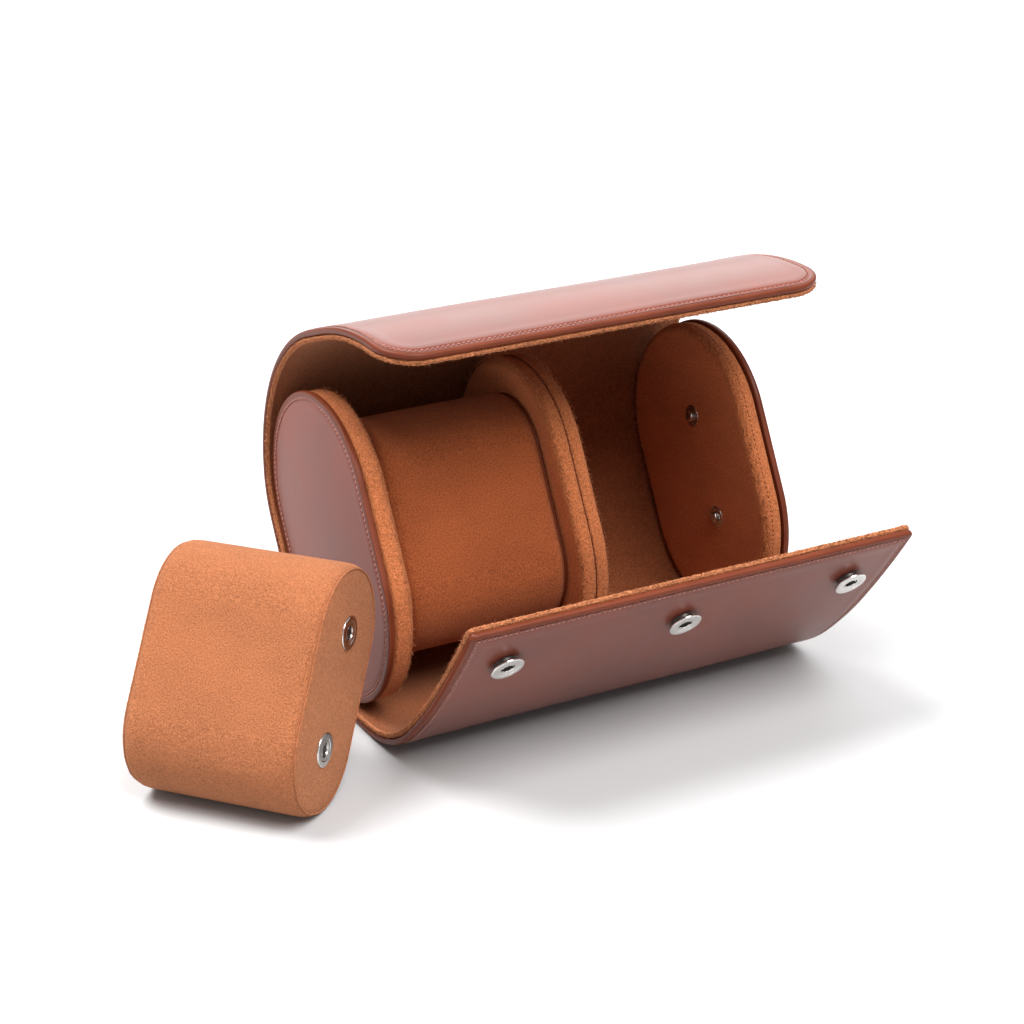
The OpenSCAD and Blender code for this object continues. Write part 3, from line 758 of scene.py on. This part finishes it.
# profiles of an end panel, in mm: inset from its outline and distance in from its outer face
DISC_RIM, DISC_REACH = 33.29, 28.1
DISC_DOME = [(inset, -0.1 - 0.8 * (1 - ((DISC_RIM - inset) / DISC_REACH) ** 2))
             for inset in (DISC_RIM, 30, 26, 22, 18, 14, 11, 8.5, 6.5)]
DISC_SEAM = [(5.2, -0.1), (4.2, -0.08), (3.5, -0.03), (3.0, 0.07), (2.65, 0.17), (2.4, 0.2), (2.15, 0.17),
             (1.8, 0.04), (1.6, 0.03)]
DISC_BEAD = rounded([(1.6, 0.03), (1.1, 0.02), (0.25, 0.06), (0.0, 0.5), (0.0, 1.5), (0.35, 2.0),
                     (2.4, 2.1)], 0.5)
PANEL_CUP = rounded([(3.6, 2.1), (1.7, 2.25), (1.0, 2.6), (0.62, 3.2), (0.5, 5.0), (0.52, 6.4), (0.75, 7.3),
                     (1.3, 8.1), (2.2, 8.55), (3.4, 8.68), (5.0, 8.7), (12.0, 8.72), (DISC_RIM, 8.72)], 0.6)
PANEL_TURN = int(np.argmax((PANEL_CUP[:, 0] > 2.6) & (PANEL_CUP[:, 1] > 8)))
# and of half a divider, from its middle
DIVIDER_HALF = rounded([
    (5.0, 0.04), (1.5, 0.05), (0.95, 0.12), (0.72, 0.35), (0.6, 0.8), (0.55, 1.6), (0.58, 2.9), (0.85, 3.9),
    (1.5, 4.6), (2.5, 4.92), (3.8, 4.98), (12.0, 5.0), (DISC_RIM, 5.0)], 0.5)
DIVIDER_TURN = int(np.argmax((DIVIDER_HALF[:, 0] > 2.4) & (DIVIDER_HALF[:, 1] > 4.5)))
# the outer faces of the end panels in X and the way into the case, then how deep a panel is, in mm
PANELS = (("left", -71.0, 1.0), ("right", 66.5, -1.0))
PANEL_DEPTH = 8.7
DIVIDER_X, RIGHT_SEAM_X = -2.25, 60.6


def from_face(profile, face, hand):
    """Stands a profile on a face at an X, looking along hand."""
    return np.array(profile, float) * (1.0, hand) + (0.0, face)


def cover_and_rim(names, profile, turn, hand, sizes, fuzz, seed):
    """The smooth face of a suede-covered board and its rougher rim, which meet where the profile turns."""
    face, back = panel_ring(profile[turn:], sizes), hand < 0
    band = fuzzed(panel_ring(profile[:turn + 1], sizes, 3), fuzz, seed)
    # the face takes the lightened face copy of the suede, painted light, and the band the rim copy, partly
    # painted light
    return (make_piece(names + "_cover", [face], "face", wrap=True, flip=back, work=weld),
            make_piece(names + "_rim", [band], "rim", wrap=True, flip=back))


def ring_fibres(name, x, centre_x, sizes, seed):
    """Fibres that stand out of a panel's or the divider's rim."""
    inset = 0.7
    roots = panel_ring([(inset, x)], sizes, 2)[0]
    outs = (panel_ring([(inset - 1.0, x + np.sign(x - centre_x) * 0.3)], sizes, 2)[0] - roots) / MM
    return fibres(name, closed(roots), closed(outs), 3.0, seed)


def ring_seam(name, spot, towards, sizes, finish, pitch, length, thick):
    """Stitches round a board at an (inset, x), facing another one."""
    path, outer = (panel_ring([place], sizes)[0] for place in (spot, towards))
    points, alongs = seam_points(closed(path), pitch)
    old, new = (np.linspace(0, 1, len(line)) for line in (path, points))
    outs = unit(at_shares(outer - path, old, new))
    return make_piece(name, stitches(points, alongs, outs, length, thick), finish, wrap=True, flip=True)


class WATCHCASE_OT_end_panels(bpy.types.Operator):
    """Makes the leather discs with their stitching and the suede sides of the two end panels"""

    bl_idname = "watch_case.end_panels"
    bl_label = "End panels"

    def execute(self, context):
        sizes = sizes_of()
        for side, outer, hand in PANELS:
            back = hand < 0
            face = panel_ring(from_face(DISC_DOME + DISC_SEAM, outer, hand), sizes)
            disc = make_piece(side + "_disc_face", [face], "disc", wrap=True, flip=back, work=weld)
            bead = panel_ring(from_face(DISC_BEAD, outer, hand), sizes)
            edge = make_piece(side + "_disc_edge", [bead], "edge", wrap=True, flip=back)
            cup = from_face(PANEL_CUP, outer, hand)
            suede, band = cover_and_rim(side + "_panel", cup, PANEL_TURN, hand, sizes, 0.06 * MM, 11)
            inset = sizes.stitch_inset / MM
            spot, above = from_face([(inset, 0.14), (inset, -0.86)], outer, hand)
            seam = ring_seam(side + "_disc_stitches", spot, above, sizes, "thread",
                             sizes.stitch_pitch, *sewn(sizes))
            loose = ring_fibres(side + "_panel_fibres", outer + hand * 7.6, outer, sizes, 70 + int(hand))
            for piece, kind, nodes in ((disc, "leather", [side + "_panel_disc"]), (edge, "leather", []),
                                       (suede, "suede", [side + "_panel_suede"]), (band, "suede", []),
                                       (loose, "suede", []), (seam, "leather", [])):
                settle(piece, kind, nodes, "case")
        return {"FINISHED"}


class WATCHCASE_OT_divider(bpy.types.Operator):
    """Makes the two suede-covered halves of the divider, with the seam between them"""

    bl_idname = "watch_case.divider"
    bl_label = "Divider"

    def execute(self, context):
        sizes = sizes_of()
        for side, hand in (("left", -1.0), ("right", 1.0)):
            profile = from_face(DIVIDER_HALF, DIVIDER_X, hand)
            half, rim = cover_and_rim("divider_" + side, profile, DIVIDER_TURN, hand, sizes, 0.05 * MM, 12)
            loose = ring_fibres("divider_" + side + "_fibres", DIVIDER_X + hand * 4.3, DIVIDER_X, sizes,
                                60 + int(hand))
            for piece, nodes in ((half, ["divider_" + side + "_suede"]), (rim, []), (loose, [])):
                settle(piece, "suede", nodes, "case")
        for name, x, inset in (("divider_seam", DIVIDER_X, 0.66), ("right_panel_seam", RIGHT_SEAM_X, 0.5)):
            seam = ring_seam(name, (inset, x), (inset - 1.0, x), sizes, "edge", 1.5 * MM, 1.1 * MM, 0.26 * MM)
            settle(seam, "suede", body="case")
        return {"FINISHED"}


CUSHION_LENGTH = 52.05 * MM
CUSHION_RADIUS = 20.0 * MM
CUSHION_STRAIGHT = 15.5 * MM
CUSHION_GAP = 7.25 * MM + 0.35 * MM
SNAP_OFFSET = 16.4 * MM
LOOSE_X, LOOSE_Y, LOOSE_YAW, LOOSE_LEAN = -111.9 * MM, -19.7 * MM, radians(-49.5), radians(34.0)
# an end of a cushion, in mm: inset and distance from its face; a recessed end steps in before its face
CUSHION_END = ((19.99, 0), (17, 0), (13, 0), (9, 0), (6, 0), (4, 0.02), (2.6, 0.1), (1.7, 0.3), (1.0, 0.7),
               (0.5, 1.3), (0.18, 2.2), (0.05, 3.4))
RECESSED_END = ((0.02, 3.2), (0.12, 2.3), (0.45, 1.85), (0.82, 1.6), (0.94, 1.3), (0.96, 0.6), (1.06, 0.25),
                (1.4, 0.06), (2.4, 0), (4, 0), (6, 0), (9, 0), (13, 0), (17, 0), (19.99, 0))


CLOTH = dict(quality=6, mass=0.3, use_pressure=True, uniform_pressure_force=4.0, tension_stiffness=40.0,
             compression_stiffness=40.0, bending_stiffness=6.0, vertex_group_mass="seam")
CLOTH_FRAMES = 14


def cushion_profile(recessed):
    """Profile of a cushion as (inset, x): a flat end, a tight turn at the seam, the side and the far end."""
    half = CUSHION_LENGTH / MM / 2
    side = [(0.0, x) for x in np.linspace(-half + 5, half - 5, 22)]
    near = [(inset, rise - half) for inset, rise in CUSHION_END]
    far = [(inset, half - rise) for inset, rise in (RECESSED_END if recessed else CUSHION_END[::-1])]
    return np.array(near + side + far)


def around_cushion(profile, points):
    return around_stadium(profile, (0.0, 0.0), points, CUSHION_RADIUS, CUSHION_STRAIGHT, 0.0)


def swollen_cushion(name, sizes, recessed):
    """A cushion upright at the origin, swollen by a short cloth simulation that holds its seams."""
    grid = around_cushion(cushion_profile(recessed) * MM, sizes.around)
    # the cushion in the bay takes the darker cover copy, painted shade; the loose one takes the paler copy,
    # painted light
    piece = make_piece(name, [grid], "cover" if recessed else "pale", wrap=True, work=weld)
    before = points_of(piece.data)
    x, y, z = before.T
    to_end = np.minimum(x - x.min(), x.max() - x)
    near_seam = bell(to_end - 0.6 * MM, 1.6 * MM) > 0.35
    reach = np.hypot(y, z - np.clip(z, -CUSHION_STRAIGHT, CUSHION_STRAIGHT))
    at_rim = reach > CUSHION_RADIUS - 2.2 * MM
    sockets = np.minimum(np.hypot(y, z - SNAP_OFFSET), np.hypot(y, z + SNAP_OFFSET)) < 6 * MM
    held = piece.vertex_groups.new(name="seam")
    for index in np.nonzero(near_seam & at_rim | sockets & (to_end < 1 * MM))[0]:
        held.add([int(index)], 1.0, "REPLACE")
    cloth = piece.modifiers.new("filling", "CLOTH")
    for key, value in CLOTH.items():
        setattr(cloth.settings, key, value)
    cloth.settings.effector_weights.gravity = 0.0
    cloth.collision_settings.use_collision = False
    scene = bpy.context.scene
    for frame_number in range(1, CLOTH_FRAMES + 1):
        scene.frame_set(frame_number)
    move = points_of(piece.evaluated_get(bpy.context.evaluated_depsgraph_get()).data) - before
    far = np.linalg.norm(move, axis=1)
    move *= np.minimum(1.0, sizes.cushion_swell / np.maximum(far, 1e-9))[:, None]
    move[:, 0] = np.clip(move[:, 0], -0.3 * MM, 0.3 * MM)
    piece.modifiers.remove(cloth)
    scene.frame_set(1)
    move_points(piece.data, before + move)
    return piece


def seat_cushion(points, place):
    """Turns points of a cushion to where it lies: in the left bay, or mirrored and outside on the floor."""
    x, y, z = points[..., 0], points[..., 1], points[..., 2]
    if place == "left":
        across, up = leaned(y, z, LEAN)
        x = x - CUSHION_GAP - CUSHION_LENGTH / 2
        return np.stack([x, CUSHION_CENTRE[0] + across, CUSHION_CENTRE[1] + up], -1)
    back, up = leaned(y, z, LOOSE_LEAN)
    rise = CUSHION_RADIUS + CUSHION_STRAIGHT * cos(LOOSE_LEAN)
    across, along = cos(LOOSE_YAW), sin(LOOSE_YAW)
    return np.stack([LOOSE_X - x * across - back * along, LOOSE_Y - x * along + back * across, rise + up], -1)


def ring_tube(inset, x, sign, radius, sizes):
    """A ring round a cushion's end, and the closed tube that follows it; it makes the welts and the dark cord
    of painted shade by the divider.
    """
    ring = around_cushion(np.array([(inset, x)]), sizes.around * 2)[0]
    ahead = unit(np.roll(ring, -1, 0) - np.roll(ring, 1, 0))
    out = np.array([0.75 * sign, 0, 0]) + 0.66 * np.cross(ahead, np.array([1.0, 0, 0]))
    across, up = circle(8)
    return ring, closed(ring[:, None] + radius * (across * out[:, None] + up * np.cross(out, ahead)[:, None]))


class WATCHCASE_OT_cushions(bpy.types.Operator):
    """Makes the two suede cushions, swollen by their filling, with the sewn edge of their ends"""

    bl_idname = "watch_case.cushions"
    bl_label = "Cushions"

    def execute(self, context):
        sizes = sizes_of()
        half = CUSHION_LENGTH / 2
        # the welts take the rim copy on the cushion in the bay and the pale copy on the loose one, both
        # partly painted light
        for place, signs, finish in (("left", (-1,), "rim"), ("loose", (-1, 1), "pale")):
            name = place + "_cushion"
            cover = swollen_cushion(name + "_suede", sizes, place == "left")
            rings, tubes = zip(*(
                ring_tube(1.25 * MM, sign * (half - 0.35 * MM), sign, 0.32 * MM, sizes) for sign in signs))
            welt = make_piece(name + "_seam", tubes, finish, wrap=True, work=face_outwards)
            ring = rings[-1]
            outs = np.column_stack([np.full(len(ring), 0.6 * signs[-1]), unit(ring[:, 1:])])
            pieces = [cover, welt, fibres(name + "_fibres", ring, outs, 3.0, 80, 0.45 * MM)]
            if place == "left":
                # a dark cord in the groove where the cushion's far end meets the divider: painted shade for
                # the gap between them
                gap_shade_cord = ring_tube(0.72 * MM, half - 0.6 * MM, 1, 0.3 * MM, sizes)[1]
                pieces.append(make_piece(name + "_piping", [gap_shade_cord], "edge", wrap=True, work=face_outwards))
            for piece in pieces:
                mesh = piece.data
                move_points(mesh, seat_cushion(points_of(mesh), place))
                if place == "loose":
                    mesh.flip_normals()
                settle(piece, "suede", [name + "_cover"] if piece is cover else [], name)
        return {"FINISHED"}


# heights in mm of the rings and studs above what carries them
FLAP_RING, LID_STUD, PANEL_STUD, CUSHION_RING = 2.3, 2.6, 1.8, 0.5
FLAP_SNAP, LID_SNAP = 18.2 * MM, 6.5 * MM
SNAP_ROW = np.array([-57.0, 0.0, 57.0]) * MM


def revolve(profile, points=64):
    """Turns a profile of (radius, height) round +Z: each ring is radius times (cos, sin)."""
    profile = np.asarray(profile, float) * MM
    across, up = circle(points)
    return np.stack([profile[:, :1] * across.T, profile[:, :1] * up.T,
                     np.broadcast_to(profile[:, 1:], (len(profile), points))], -1)


def place_frame(grid, origin, out, side):
    """Puts a grid made round +Z onto a surface: out is its axis there and side its first direction."""
    out, side = unit(np.asarray(out, float)), np.asarray(side, float)
    side = unit(side - out * (side @ out))
    return origin + grid[..., :1] * side + grid[..., 1:2] * np.cross(out, side) + grid[..., 2:3] * out


def socket_grids(height):
    """A socket's rounded flat ring with a fine step, and the lip of its bore."""
    ring = ((3.3, 0.9), (4.6, 0.9), (4.85, 0.82), (4.95, 0.6), (4.95, 0.32), (4.88, 0.12), (4.7, 0.02),
            (4.45, 0), (3.35, 0), (3.25, 0.03), (3.15, 0.12), (3.0, 0.14), (2.3, 0.14), (2.12, 0.18),
            (2.02, 0.3), (2.0, 0.42))
    return [revolve(rounded([(radius, height - drop) for radius, drop in ring], 0.08, 3))]


def bore_grids(height):
    """The dark tube below a socket's lip, closed just above what carries it: painted shade in the hole."""
    return [revolve([(2.0, height - 0.4), (1.98, 0.06), (1.6, 0.05), (0.01, 0.05)], 48)]


def stemmed_bore_grids(height):
    """A bore and the stem that carries its ring, both dark and dull: painted shade under the ring."""
    return bore_grids(height) + [revolve([(3.5, 0.0), (3.34, 0.08), (3.3, 0.2), (3.3, height - 0.9)], 48)]


def spring_grids(height):
    """The two bowed arms of the spring wire: a thin tube along an arc on each side of the bore."""
    radius, thick, drop, reach = 1.74, 0.16, 0.44, 2.5
    grids = []
    for start in (0.35, 0.35 + pi):
        turn = np.linspace(start, start + reach, 22)
        radial = np.stack([np.cos(turn), np.sin(turn), 0 * turn], -1)
        centre = radius * radial + (0.0, 0.0, height - drop)
        across, up = circle(8)
        around = across * radial[:, None] + up * np.array([0.0, 0.0, 1.0])
        grids.append((centre[:, None] + thick * around) * MM)
    return grids


def stud_grids(height):
    """A ball stud: thin flange, waisted neck and round head with a small flat."""
    flange = [(0.01, 0.0), (3.45, 0.0), (3.5, 0.18), (3.2, 0.42), (1.9, 0.52), (1.35, 0.66)]
    head = ((1.25, 1.35), (1.7, 0.98), (1.82, 0.7), (1.74, 0.34), (1.4, 0.1), (0.9, 0.01), (0.01, 0))
    return [revolve(rounded(flange + [(radius, height - drop) for radius, drop in head], 0.2, 4))]


def wrap_snaps(along, depth, away):
    """Snaps in a row across the wrap, as origins with their outward and side directions."""
    return [(on_wrap(along, x, depth), on_wrap(along, x, away) - on_wrap(along, x, depth), (1.0, 0.0, 0.0))
            for x in SNAP_ROW]


def panel_snaps(x, hand):
    spots = (CUSHION_CENTRE + offset * LONG_AXIS for offset in (SNAP_OFFSET, -SNAP_OFFSET))
    return [(np.array([x * MM, *spot]), (hand, 0.0, 0.0), (0.0, 0.3, 1.0)) for spot in spots]


def cushion_snaps(place):
    end = -CUSHION_LENGTH / 2

    def seat(*point):
        return seat_cushion(np.array(point), place)
    out = seat(end - 1.0, 0.0, 0.0) - seat(end, 0.0, 0.0)
    up = seat(0.0, 0.0, 1.0) - seat(0.0, 0.0, 0.0)
    return [(seat(end, 0.0, offset), out, up) for offset in (SNAP_OFFSET, -SNAP_OFFSET)]


class WATCHCASE_OT_snaps(bpy.types.Operator):
    """Makes the ring sockets and ball studs of the flap, the lid, the end panels and the cushions"""

    bl_idname = "watch_case.snaps"
    bl_label = "Snaps"

    def execute(self, context):
        flap = wrap_snaps(-(FLAP_END - FLAP_SNAP), 0.0, -1.0)
        lid = wrap_snaps(LID_END - LID_SNAP, 3.7 * MM, 4.7 * MM)
        made = [("flap_snap_rings", socket_grids, FLAP_RING, flap, "snap", "flap_front", ["flap_sockets"]),
                ("flap_snap_bores", stemmed_bore_grids, FLAP_RING, flap, "dark", "flap_front", []),
                ("flap_snap_springs", spring_grids, FLAP_RING, flap, "snap", "flap_front",
                 ["flap_socket_springs"]),
                ("lid_ball_studs", stud_grids, LID_STUD, lid, "ball", "lid_front", ["lid_studs"])]
        for side, outer, hand in PANELS:
            name, spots = side + "_panel", panel_snaps(outer + hand * PANEL_DEPTH, hand)
            made.append((name + "_ball_studs", stud_grids, PANEL_STUD, spots, "ball", "case",
                         [name + "_studs"]))
        for place in ("left", "loose"):
            name, spots = place + "_cushion", cushion_snaps(place)
            made += [(name + "_rings", socket_grids, CUSHION_RING, spots, "snap", name, [name + "_sockets"]),
                     (name + "_bores", bore_grids, CUSHION_RING, spots, "dark", name, []),
                     (name + "_spring_wires", spring_grids, CUSHION_RING, spots, "snap", name,
                      [name + "_springs"])]
        for name, shape, height, spots, finish, body, nodes in made:
            grids = [place_frame(grid, *spot) for spot in spots for grid in shape(height)]
            piece = make_piece(name, grids, finish, wrap=True, work=face_outwards)
            settle(piece, "wire" if "spring" in name else "snap", nodes, body)
        return {"FINISHED"}


# endings of the frame's node names, and the finish of each; the rest is suede
NODE_FINISHES = ((("foam",), "foam"), (("rivets",), "rivet"), (("board", "core"), "board"),
                 (("studs", "sockets", "springs"), "solid_snap"), (("leather", "disc"), "solid_leather"),
                 (("",), "solid_suede"))


class WATCHCASE_OT_inner_parts(bpy.types.Operator):
    """Gives the boards, cores, filling and rivets inside the case their finishes"""

    bl_idname = "watch_case.inner_parts"
    bl_label = "Boards, filling and rivets"

    def execute(self, context):
        for name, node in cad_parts.items():
            kind = next(finish for endings, finish in NODE_FINISHES if name.endswith(endings))
            node.data.materials.clear()
            node.data.materials.append(finish_of(kind))
        return {"FINISHED"}


CAMERA_PLACE = (-0.34662, -0.59291, 0.34303)
CAMERA_TURN = (radians(67.04), 0.0, radians(-28.995))


class WATCHCASE_OT_stage(bpy.types.Operator):
    """Sets up the pale floor, the soft light and the camera"""

    bl_idname = "watch_case.stage"
    bl_label = "Floor, light and camera"

    def execute(self, context):
        scene, stage, reach = context.scene, context.scene.watch_case_stage, 3.0
        corners = reach * np.array([[[-1, -1, 0], [1, -1, 0]], [[-1, 1, 0], [1, 1, 0]]])
        pale = Finish("pale_floor", Roughness=0.8, Base_Color=stage.floor)
        make_piece("floor", [corners], pale.material)
        scene.world = bpy.data.worlds.new("white_surround")
        scene.world.use_nodes = True
        background = scene.world.node_tree.nodes["Background"]
        background.inputs["Color"].default_value = (1.0, 1.0, 1.0, 1.0)
        background.inputs["Strength"].default_value = stage.surround
        for name, place, kind, size, power in (
                ("key_light", (-0.42, 0.3, 1.05), "SUN", radians(32), stage.key),
                ("front_light", (0.14, -0.64, 1.0), "SUN", radians(36), stage.front),
                ("back_screen", (0.75, 1.35, 0.85), "AREA", 1.4, stage.back),
                ("side_screen", (-1.25, 0.1, 0.6), "AREA", 1.0, stage.side)):
            lamp = bpy.data.lights.new(name, kind)
            lamp.energy = power
            setattr(lamp, "angle" if kind == "SUN" else "size", size)
            light = bpy.data.objects.new(name, lamp)
            light.location = place
            x, y, z = place
            light.rotation_euler = (atan2(hypot(x, y), z), 0.0, atan2(-x, y) + pi)
            scene.collection.objects.link(light)
        lens = bpy.data.cameras.new("camera")
        lens.lens, lens.sensor_width = stage.lens, 36.0
        lens.clip_start, lens.clip_end = 0.05, 20.0
        camera = bpy.data.objects.new("camera", lens)
        camera.location, camera.rotation_euler = CAMERA_PLACE, CAMERA_TURN
        scene.collection.objects.link(camera)
        scene.camera = camera
        scene.view_settings.view_transform = "Standard"
        return {"FINISHED"}


class WATCHCASE_PT_panel(bpy.types.Panel):
    """Lists the steps and their sizes and colours"""

    bl_idname = "WATCHCASE_PT_panel"
    bl_label = "Watch travel case"
    bl_space_type = "VIEW_3D"
    bl_region_type = "UI"
    bl_category = "Watch case"

    def draw(self, context):
        layout = self.layout
        for name in SETTINGS:
            settings = getattr(context.scene, name)
            box = layout.box()
            for field in settings.__annotations__:
                box.prop(settings, field)
        for step in STEPS:
            layout.operator(step.bl_idname)


SETTINGS = dict(watch_case_sizes=WatchCaseSizes, watch_case_colours=WatchCaseColours,
                watch_case_stage=WatchCaseStage)
STEPS = (WATCHCASE_OT_wrap, WATCHCASE_OT_end_panels, WATCHCASE_OT_divider, WATCHCASE_OT_cushions,
         WATCHCASE_OT_snaps, WATCHCASE_OT_inner_parts, WATCHCASE_OT_stage)
CLASSES = (*SETTINGS.values(), *STEPS, WATCHCASE_PT_panel)


def register():
    for item in CLASSES:
        bpy.utils.register_class(item)
    for name, group in SETTINGS.items():
        setattr(bpy.types.Scene, name, PointerProperty(type=group))


def unregister():
    for name in SETTINGS:
        delattr(bpy.types.Scene, name)
    for item in reversed(CLASSES):
        bpy.utils.unregister_class(item)


def main():
    register()
    for step in STEPS:
        group, name = step.bl_idname.split(".")
        getattr(getattr(bpy.ops, group), name)()


if __name__ == "__main__":
    main()
